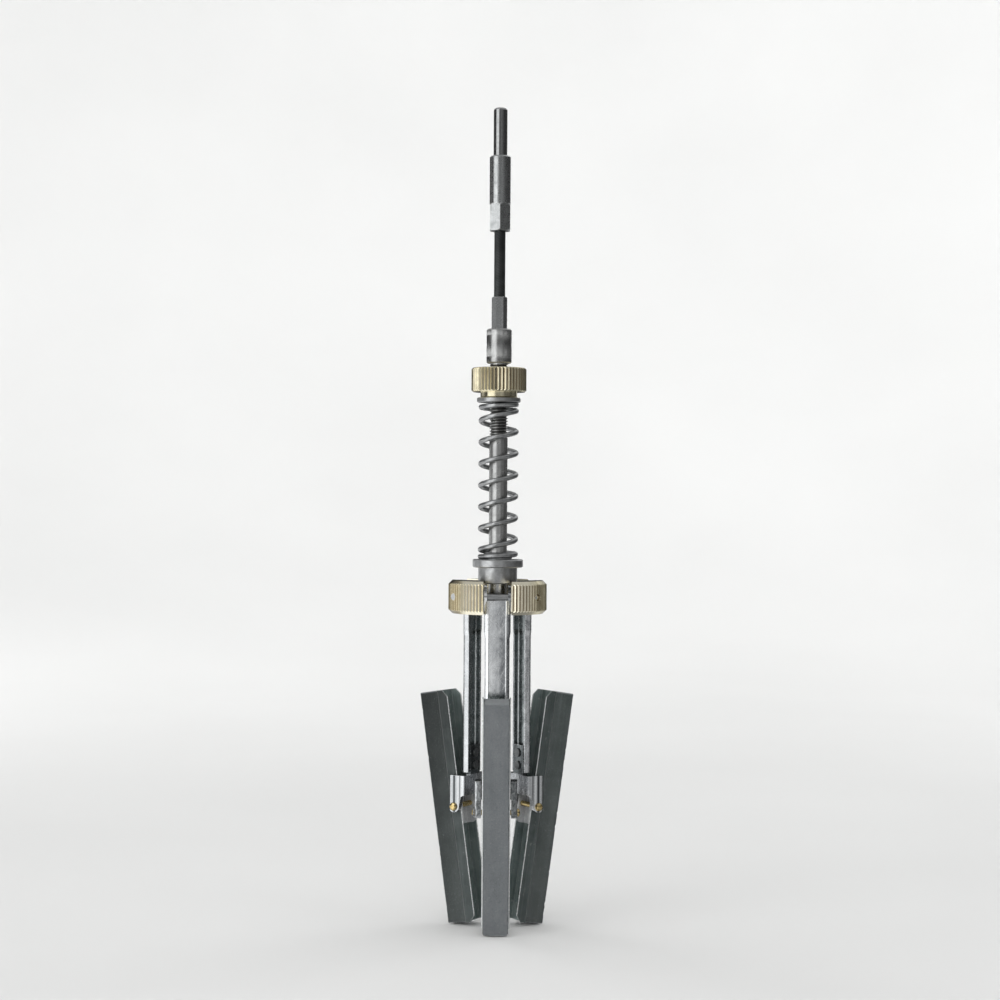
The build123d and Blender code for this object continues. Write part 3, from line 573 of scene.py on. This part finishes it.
def spring_finish():
    """Coil spring: drawn wire, grey zinc with lighter flats where the coils were ground."""
    s = Shade("spring_steel", metallic=1.0)
    p = s.parts(s.coord)
    blotch = s.noise(s.coord, 420.0, 4.0, 0.6, 0.5)
    drawn = s.noise(s.place(scale=(60, 60, 3600)), 1.0, 3.0, 0.6)
    speck = s.fit(s.noise(s.coord, 1300.0, 2.0, 0.5), 0.64, 0.72)
    colour = s.mix(s.fit(blotch, 0.3, 0.72), (0.25, 0.255, 0.26), (0.47, 0.475, 0.475))
    colour = s.mix(s.fit(drawn, 0.45, 0.75, 0.0, 0.5), colour, (0.64, 0.64, 0.63))
    colour = s.mix(s.math("MULTIPLY", speck, 0.5), colour, (0.10, 0.095, 0.09))
    ground = s.math("MAXIMUM", s.fit(p[2], -0.18648, -0.18640, 1.0, 0.0), s.fit(p[2], -0.11810, -0.11802, 0.0, 1.0))
    colour = s.mix(ground, colour, (0.80, 0.80, 0.78))
    s.set("Base Color", colour)
    s.set("Roughness", s.fit(blotch, 0.3, 0.75, 0.38, 0.24))
    s.set("Normal", s.bump(drawn, 0.25, 0.00002))
    return s.material


def floor_paint():
    s = Shade("studio_paper", ior_level=0.2)
    soft = s.noise(s.coord, 3.0, 3.0, 0.5)
    paper = s.mix(s.fit(soft, 0.3, 0.7), (0.80, 0.80, 0.795), (0.83, 0.83, 0.825))
    # painted shade: the paper is painted darker towards the middle, where the lamps light it most
    near = s.fit(s.radius(), 0.25, 2.2, 0.0, 1.0, True)
    s.set("Base Color", s.mix(near, s.mix(1.0, paper, (0.80, 0.80, 0.80), "MULTIPLY"), paper))
    s.set("Roughness", s.fit(soft, 0.3, 0.7, 0.85, 0.95))
    return s.material


MAT = {
    "shank": turned_steel("shank_steel", (0.52, 0.525, 0.525), 0.15),
    "coupling": crimped_steel(),
    "wire": wire_black(),
    "spindle": machined_black(),
    "hub": gold_plate("gold_hub", 0.02145, 0.0006, -0.2082, -0.1973),
    "nut": gold_plate("gold_nut", 0.0120, 0.0005, -0.1128, -0.1037),
    "plated": plated("plated_steel", (0.50, 0.505, 0.51), (0.70, 0.70, 0.69), 0.34),
    "rivet": plated("rivet_steel", (0.24, 0.25, 0.255), (0.42, 0.43, 0.43), 0.36),
    "clip": plated("clip_steel", (0.52, 0.53, 0.54), (0.80, 0.80, 0.79), 0.24),
    # painted light: the saddles get a lighter, half-metallic copy of the plated finish so they read bright inside the
    # holders' shade
    "saddle": plated("saddle_steel_painted_light", (0.62, 0.63, 0.64), (0.90, 0.90, 0.89), 0.36, 0.45),
    "spring": spring_finish(),
    "gold_pin": plated("gold_pin", (0.74, 0.56, 0.24), (0.94, 0.82, 0.52), 0.22),
    "floor": floor_paint(),
}
stage.data.materials.append(MAT["floor"])


def dress(node, material):
    """Gives a CAD node's object its finish."""
    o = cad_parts[node]
    if len(o.material_slots) == 0:
        o.data.materials.append(material)
    for slot in o.material_slots:
        slot.material = material
    return o


for node, key in {
    "drive_shank": "shank",
    "upper_coupling": "coupling",
    "lower_coupling": "coupling",
    "coupling_pin": "plated",
    "thrust_washer": "plated",
    "thrust_collar": "plated",
    "tension_nut": "nut",
    "arm_hub": "hub",
    "arm_pivot_pins": "plated",
    "hub_washer": "plated",
    "hub_nut": "plated",
}.items():
    dress(node, MAT[key])
for k, az in AZ.items():
    dress(f"arm_{k}", chrome(f"arm_chrome_{k}", az, 1.0))
    dress(f"yoke_{k}", chrome(f"yoke_chrome_{k}", az, 0.35, fork=True))
    dress(f"yoke_rivets_{k}", MAT["rivet"])
    dress(f"stone_pin_{k}", MAT["gold_pin"])
    dress(f"pin_clip_{k}", MAT["clip"])
    # the front holder gets a strong painted bend highlight, the left holder painted shade
    holder = holder_steel(az, 1.0 if k == 1 else 0.12, 0.74 if k == 3 else 1.0)
    dress(f"stone_holder_{k}", holder)
    dress(f"pivot_saddle_{k}", MAT["saddle"])


def finish_piece(o, material):
    o.data.materials.append(material)
    return o


# ------------------------------------------------------------------ flexible shaft: seven black wires wound side by side
FLEX_TOP, FLEX_MID, FLEX_LOW = -43.2, -57.6, -72.0
WIRES, LEAD = 7, 8.26
WIRE_CENTRE, WIRE_HALF, WIRE_SPAN = 2.005, 0.492, 0.441


def wound(name, z0, z1):
    """Stack of level sections, each of seven lobes, turned as they go down (left-hand lay)."""
    sides, step = 14, 0.16
    rings = max(2, int(round(abs(z1 - z0) / step)) + 1)
    verts, faces = [], []
    for w in range(WIRES):
        start = len(verts)
        for i in range(rings):
            z = z0 + (z1 - z0) * i / (rings - 1)
            middle = -2 * math.pi * (z - FLEX_MID) / LEAD + 2 * math.pi * w / WIRES
            for j in range(sides):
                t = 2 * math.pi * j / sides
                r = WIRE_CENTRE + WIRE_HALF * math.cos(t)
                a = middle + WIRE_SPAN * math.sin(t)
                verts.append((r * math.cos(a) * MM, r * math.sin(a) * MM, z * MM))
        for i in range(rings - 1):
            for j in range(sides):
                a, b = start + i * sides + j, start + i * sides + (j + 1) % sides
                faces.append((a, b, b + sides, a + sides))
        faces.append(tuple(start + j for j in range(sides)))
        last = start + (rings - 1) * sides
        faces.append(tuple(last + j for j in reversed(range(sides))))
    start, sides = len(verts), 24
    for i in range(rings):
        z = z0 + (z1 - z0) * i / (rings - 1)
        for j in range(sides):
            a = 2 * math.pi * j / sides
            verts.append((1.62 * math.cos(a) * MM, 1.62 * math.sin(a) * MM, z * MM))
    for i in range(rings - 1):
        for j in range(sides):
            a, b = start + i * sides + j, start + i * sides + (j + 1) % sides
            faces.append((a, b, b + sides, a + sides))
    faces.append(tuple(start + j for j in range(sides)))
    faces.append(tuple(start + (rings - 1) * sides + j for j in reversed(range(sides))))
    return finish_piece(mesh_object(name, verts, faces, 50), MAT["wire"])


upper_wires = wound("flex_wires_upper", FLEX_TOP + 0.35, FLEX_MID)
lower_wires = wound("flex_wires_lower", FLEX_MID, FLEX_LOW - 0.35)
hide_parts("flex_shaft")
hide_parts("flex_shaft")
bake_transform(upper_wires)
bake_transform(lower_wires)

# ------------------------------------------------------------------ coil spring with closed, ground ends
SPRING_TOP, SPRING_BOTTOM = -118.0, -186.5
SPRING_R, SPRING_WIRE_R, SPRING_TURNS, DEAD_PITCH = 7.7, 1.1, 9.0, 2.26
SPRING_CUT = -166.0


def spring_line():
    """Turn count and height of the wire's centre, close-wound at both ends."""
    u = np.linspace(0.0, SPRING_TURNS, 9 * 56 + 1)

    def ease(x):
        x = np.clip(x, 0, 1)
        return x * x * (3 - 2 * x)

    s = ease((u - 0.9) / 0.6) * ease((SPRING_TURNS - 0.9 - u) / 0.6)
    area = np.trapezoid(s, u) if hasattr(np, "trapezoid") else np.trapz(s, u)
    rise = (SPRING_TOP - 0.5) - (SPRING_BOTTOM + 0.5)
    slope = DEAD_PITCH + (rise - DEAD_PITCH * SPRING_TURNS) / area * s
    z = np.concatenate([[0], np.cumsum((slope[1:] + slope[:-1]) / 2 * np.diff(u))])
    z = z * rise / z[-1] + SPRING_BOTTOM + 0.5
    return u, z


spring_u, spring_z = spring_line()
cut = int(np.argmin(np.abs(spring_z - SPRING_CUT)))
spring_turn = math.pi / 2 - 2 * math.pi * float(spring_u[cut])


def spring_part(name, first, last):
    sides = 16
    verts, faces = [], []
    dz = np.gradient(spring_z, 2 * math.pi * spring_u)
    for i in range(first, last + 1):
        a = spring_turn + 2 * math.pi * spring_u[i]
        n = Vector((math.cos(a), math.sin(a), 0))
        t = Vector((-SPRING_R * math.sin(a), SPRING_R * math.cos(a), dz[i])).normalized()
        b = n.cross(t).normalized()
        c = Vector((SPRING_R * math.cos(a), SPRING_R * math.sin(a), spring_z[i]))
        for j in range(sides):
            q = 2 * math.pi * j / sides
            p = c + SPRING_WIRE_R * (math.cos(q) * n + math.sin(q) * b)
            z = min(max(p.z, SPRING_BOTTOM + 0.005), SPRING_TOP - 0.005)
            verts.append((p.x * MM, p.y * MM, z * MM))
    rings = last - first + 1
    for i in range(rings - 1):
        for j in range(sides):
            a, b = i * sides + j, i * sides + (j + 1) % sides
            faces.append((a, b, b + sides, a + sides))
    faces.append(tuple(range(sides)))
    faces.append(tuple((rings - 1) * sides + j for j in reversed(range(sides))))
    return finish_piece(mesh_object(name, verts, faces, 45), MAT["spring"])


spring_upper = spring_part("tension_spring_upper", cut, len(spring_u) - 1)
spring_lower = spring_part("tension_spring_lower", 0, cut)
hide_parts("tension_spring")
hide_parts("tension_spring")
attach(spring_upper, "spindle_body")
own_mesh(spring_upper)
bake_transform(spring_lower)


# ------------------------------------------------------------------ spindle: drilled boss, threaded rod, threaded tail
def threaded_rod():
    sides = 72
    verts, faces = [], []
    rows = []

    def row(z, r_of):
        rows.append(len(verts))
        for i in range(sides):
            a = 2 * math.pi * i / sides
            r = r_of(a)
            verts.append((r * math.cos(a) * MM, r * math.sin(a) * MM, z * MM))

    def cut_profile(z, a, pitch, major, minor, top, bottom, run_top, run_bottom):
        phase = (z / pitch - a / (2 * math.pi)) % 1.0
        h = abs(2 * phase - 1)
        h = min(1.0, max(0.0, (h - 0.13) / 0.72))
        depth = (major - minor) * (1 - h)
        fade = min(1.0, max(0.0, (top - z) / run_top)) * min(1.0, max(0.0, (z - bottom) / run_bottom))
        return major - depth * fade

    z = -100.0
    row(z, lambda a: 4.0)
    row(-101.2, lambda a: 4.0)
    z = -101.3
    while z > -134.0:
        row(z, lambda a, z=z: cut_profile(z, a, 1.25, 3.99, 3.27, -101.3, -134.0, 0.6, 1.6))
        z -= 1.25 / 10
    for z in (-134.1, -150.0, -170.0, -190.0, -204.7):
        row(z, lambda a: 3.99)
    row(-204.7, lambda a: 2.49)
    row(-210.2, lambda a: 2.49)
    z = -210.3
    while z > -218.05:
        row(z, lambda a, z=z: cut_profile(z, a, 0.8, 2.49, 2.05, -210.3, -219.3, 0.6, 0.6))
        z -= 0.08
    row(-218.2, lambda a: 2.15)
    row(-218.5, lambda a: 1.95)
    for lower, upper in zip(rows[:-1], rows[1:]):
        for i in range(sides):
            j = (i + 1) % sides
            faces.append((lower + i, lower + j, upper + j, upper + i))
    faces.append(tuple(rows[0] + i for i in range(sides)))
    faces.append(tuple(rows[-1] + i for i in reversed(range(sides))))
    return verts, faces


rod_verts, rod_faces = threaded_rod()
spindle = mesh_object("spindle_threaded", rod_verts, rod_faces, 35)
boss_profile = [
    (0.0, -98.0), (2.5, -98.0), (2.55, -98.0), (2.55, -86.35), (2.9, -86.0), (4.9, -86.0), (5.5, -86.6),
    (5.5, -88.6), (5.42, -88.75), (5.42, -88.95), (5.5, -89.1), (5.5, -97.9), (5.42, -98.05), (5.42, -98.25),
    (5.5, -98.4), (5.5, -100.5), (5.0, -101.0), (0.0, -101.0),
]
boss_verts, boss_faces = lathe([(r * MM, z * MM) for r, z in boss_profile], 96)
boss = mesh_object("spindle_boss", boss_verts, boss_faces, 35)
cutter_verts, cutter_faces = lathe([(0.0, -0.008), (0.00102, -0.008), (0.00102, 0.008), (0.0, 0.008)], 40)
cutter = mesh_object("cross_hole", cutter_verts, cutter_faces)
cutter.data.transform(Matrix.Translation((0, 0, -0.093)) @ Matrix.Rotation(math.radians(90), 4, "Y"))
drill = boss.modifiers.new("drill", "BOOLEAN")
drill.operation, drill.object, drill.solver = "DIFFERENCE", cutter, "EXACT"
bpy.context.view_layer.update()
drilled = bpy.data.meshes.new_from_object(boss.evaluated_get(bpy.context.evaluated_depsgraph_get()))
boss.modifiers.clear()
boss.data = drilled
boss.data.shade_smooth()
boss.data.set_sharp_from_angle(angle=math.radians(35))
bpy.data.objects.remove(cutter)
for piece in (spindle, boss):
    finish_piece(piece, MAT["spindle"])
    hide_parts("spindle")
    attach(piece, "spindle_body")


# ------------------------------------------------------------------ stones: cut blocks with crumbled edges
HOLDER_FACE, STONE_DEPTH, STONE_HALF_W, STONE_LENGTH = 19.7, 9.0, 5.5, 101.6


def stone_mesh(k):
    n_r, n_t, n_z = 15, 18, 150
    half = STONE_LENGTH / 2
    index, verts, faces = {}, [], []

    def spaced(i, n, lo, hi):
        """Even steps, with closer ones beside both ends."""
        x = i / n
        x = 0.5 - 0.5 * math.cos(math.pi * x) if n < 30 else x
        return lo + (hi - lo) * x

    def vertex(i, j, m):
        key = (i, j, m)
        if key in index:
            return index[key]
        r = spaced(i, n_r, 0.0, STONE_DEPTH)
        t = spaced(j, n_t, -STONE_HALF_W, STONE_HALF_W)
        if m <= 4:
            z = -half + (0.0, 0.12, 0.35, 0.7, 1.3)[m]
        elif m >= n_z - 4:
            z = half - (0.0, 0.12, 0.35, 0.7, 1.3)[n_z - m]
        else:
            z = -half + 1.3 + (STONE_LENGTH - 2.6) * (m - 4) / (n_z - 8)
        # chamfered corners at both ends, and the long edges of the working face eased
        over = (abs(t) - (STONE_HALF_W - 0.7)) + (abs(z) - (half - 0.7)) - 0.7
        if over > 0:
            t -= math.copysign(over / 2, t)
            z -= math.copysign(over / 2, z)
        over = (abs(t) - (STONE_HALF_W - 0.25)) + (r - (STONE_DEPTH - 0.25)) - 0.25
        if over > 0:
            t -= math.copysign(over / 2, t)
            r -= over / 2
        d_t = STONE_HALF_W - abs(t)
        d_r = STONE_DEPTH - r
        d_z = half - abs(z)
        near = sorted((d_t, d_r, d_z))[1]
        place = Vector((r, t, z)) + Vector((37.0 * k, 11.0 * k, 5.0 * k))
        rough = noise.fractal(place * 0.9, 0.6, 2.1, 4)
        crumb = max(0.0, noise.noise(place * 0.62) + 0.45 * noise.noise(place * 2.3) - 0.22)
        edge = max(0.0, 1.0 - near / 0.9)
        bite = 0.014 + 0.012 * rough + edge * (0.05 + 0.05 * rough) + edge * min(0.42, 0.9 * crumb)
        bite = max(0.0, bite)
        if i > 2:
            if d_t < 0.95 and d_t <= d_r + 0.3:
                t -= math.copysign(bite, t)
            if d_r < 0.95:
                r -= bite
            if d_z < 0.95:
                z -= math.copysign(bite, z)
        r = max(0.0, min(STONE_DEPTH, r))
        index[key] = len(verts)
        verts.append((HOLDER_FACE + r, t, z))
        return index[key]

    def sheet(a_n, b_n, get, flip):
        for a in range(a_n):
            for b in range(b_n):
                quad = (get(a, b), get(a + 1, b), get(a + 1, b + 1), get(a, b + 1))
                faces.append(quad[::-1] if flip else quad)

    sheet(n_t, n_z, lambda a, b: vertex(0, a, b), True)
    sheet(n_t, n_z, lambda a, b: vertex(n_r, a, b), False)
    sheet(n_r, n_z, lambda a, b: vertex(a, 0, b), False)
    sheet(n_r, n_z, lambda a, b: vertex(a, n_t, b), True)
    sheet(n_r, n_t, lambda a, b: vertex(a, b, 0), True)
    sheet(n_r, n_t, lambda a, b: vertex(a, b, n_z), False)
    return verts, faces


for k, az in AZ.items():
    verts, faces = stone_mesh(k)
    stone = mesh_object(f"abrasive_stone_{k}", verts, faces, 42)
    pin_at = Vector((16.2, 0.0, -294.6))
    place = (
        Matrix.Scale(MM, 4)
        @ Matrix.Rotation(math.radians(az), 4, "Z")
        @ Matrix.Translation(pin_at)
        @ Matrix.Rotation(math.radians(8.7), 4, "Y")
        @ Matrix.Translation((-16.2, 0.0, 0.0))
    )
    stone.data.transform(place)
    finish_piece(stone, abrasive(az))
    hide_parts(f"stone_{k}")
    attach(stone, f"shoe_body_{k}")

# ------------------------------------------------------------------ light
world = bpy.data.worlds.new("studio")
scene.world = world
world.use_nodes = True
tree = world.node_tree
tree.nodes.clear()
out = tree.nodes.new("ShaderNodeOutputWorld")
back = tree.nodes.new("ShaderNodeBackground")
tree.links.new(back.outputs[0], out.inputs[0])


def sky(op, a, b=0.0):
    n = tree.nodes.new("ShaderNodeMath")
    n.operation = op
    for socket, value in zip(n.inputs, (a, b)):
        if isinstance(value, bpy.types.NodeSocket):
            tree.links.new(value, socket)
        else:
            socket.default_value = value
    return n.outputs[0]


def step_up(value, start, end):
    n = tree.nodes.new("ShaderNodeMapRange")
    n.interpolation_type = "SMOOTHSTEP"
    tree.links.new(value, n.inputs["Value"])
    n.inputs["From Min"].default_value = start
    n.inputs["From Max"].default_value = end
    return n.outputs[0]


def band(value, start, end, soft):
    """1 between two values, fading out over soft on both sides."""
    up = step_up(value, start - soft, start)
    down = step_up(value, end, end + soft)
    return sky("MULTIPLY", up, sky("SUBTRACT", 1.0, down))


split = tree.nodes.new("ShaderNodeSeparateXYZ")
tree.links.new(tree.nodes.new("ShaderNodeTexCoord").outputs["Generated"], split.inputs[0])
sky_turn = sky("MULTIPLY", sky("ARCTAN2", split.outputs[0], sky("MULTIPLY", split.outputs[1], -1.0)), 180 / math.pi)
sky_rise = sky("MULTIPLY", sky("ARCSINE", split.outputs[2]), 180 / math.pi)
# Panels round the object: degrees to the right of the front and up, softness, brightness.
PANELS = [
    (-180, 180, 180, 34, 90, 20, 0.45),
    (-180, 180, 180, -90, -28, 14, 0.20),
    (-72, -29, 5, -40, 50, 12, 1.38),
    (-122, -72, 6, -34, -4.2, 1.2, 0.80),
    (-130, -108, 6, 2, 7, 2, 0.36),
    (-34, 26, 16, -26, -1, 4, 0.62),
    (-26, 22, 12, 0, 12, 4, 0.10),
    (14, 46, 10, 4, 14, 3, 0.09),
    (46, 76, 5, -32, -2, 4, 0.36),
    (92, 116, 8, -30, 0, 6, 0.15),
    (-168, -138, 8, -40, -1, 4, 0.60),
    (-150, -100, 8, -12, -1, 3, 0.55),
    (-170, -70, 25, -85, -48, 12, 0.85),
    (146, 170, 8, -40, 45, 10, 0.45),
]
level = 0.045
for turn_a, turn_b, turn_soft, rise_a, rise_b, rise_soft, bright in PANELS:
    part = band(sky_rise, rise_a, rise_b, rise_soft)
    if turn_b - turn_a < 360:
        part = sky("MULTIPLY", part, band(sky_turn, turn_a, turn_b, turn_soft))
    level = sky("ADD", level, sky("MULTIPLY", part, bright))
tint = tree.nodes.new("ShaderNodeCombineXYZ")
tree.links.new(sky("MULTIPLY", level, 0.985), tint.inputs[0])
tree.links.new(level, tint.inputs[1])
tree.links.new(sky("MULTIPLY", level, 1.005), tint.inputs[2])
tree.links.new(tint.outputs[0], back.inputs[0])
back.inputs[1].default_value = 1.0

TARGET = Vector((0, 0, -0.175))


def softbox(name, turn, elevation, distance, width, height, power, tint=(1, 1, 1), mirrored=False):
    """Area light round the object: turn 0 is at the camera, negative to its left."""
    a, e = math.radians(turn), math.radians(elevation)
    direction = Vector((math.sin(a) * math.cos(e), -math.cos(a) * math.cos(e), math.sin(e)))
    data = bpy.data.lights.new(name, "AREA")
    data.shape, data.size, data.size_y = "RECTANGLE", width, height
    data.energy, data.color = power, tint
    o = bpy.data.objects.new(name, data)
    scene.collection.objects.link(o)
    o.matrix_world = Matrix.Translation(TARGET + direction * distance) @ direction.to_track_quat("Z", "Y").to_matrix().to_4x4()
    o.visible_camera = False
    o.visible_glossy = mirrored
    return o


softbox("key_left", -42, 22, 1.25, 0.8, 0.8, 4.6)
softbox("front", 6, 12, 1.30, 0.9, 0.6, 5.0)
softbox("fill_right", 62, 16, 1.35, 0.6, 0.9, 1.6, (0.97, 0.985, 1.0))
softbox("rim_back_left", -140, 24, 1.35, 0.5, 1.0, 2.6)
softbox("rim_back_right", 128, 24, 1.35, 0.5, 1.0, 2.0)
softbox("overhead", 0, 89, 2.6, 3.2, 3.2, 26.0)
backdrop = softbox("backdrop", 180, 40, 1.1, 2.2, 0.6, 7.0)
backdrop.matrix_world = Matrix.Translation((0, 0.75, 1.15)) @ Vector((0, -0.75, 0.45)).to_track_quat("Z", "Y").to_matrix().to_4x4()

scene.view_settings.view_transform = "Standard"
scene.view_settings.look = "None"
scene.view_settings.exposure = 0.0
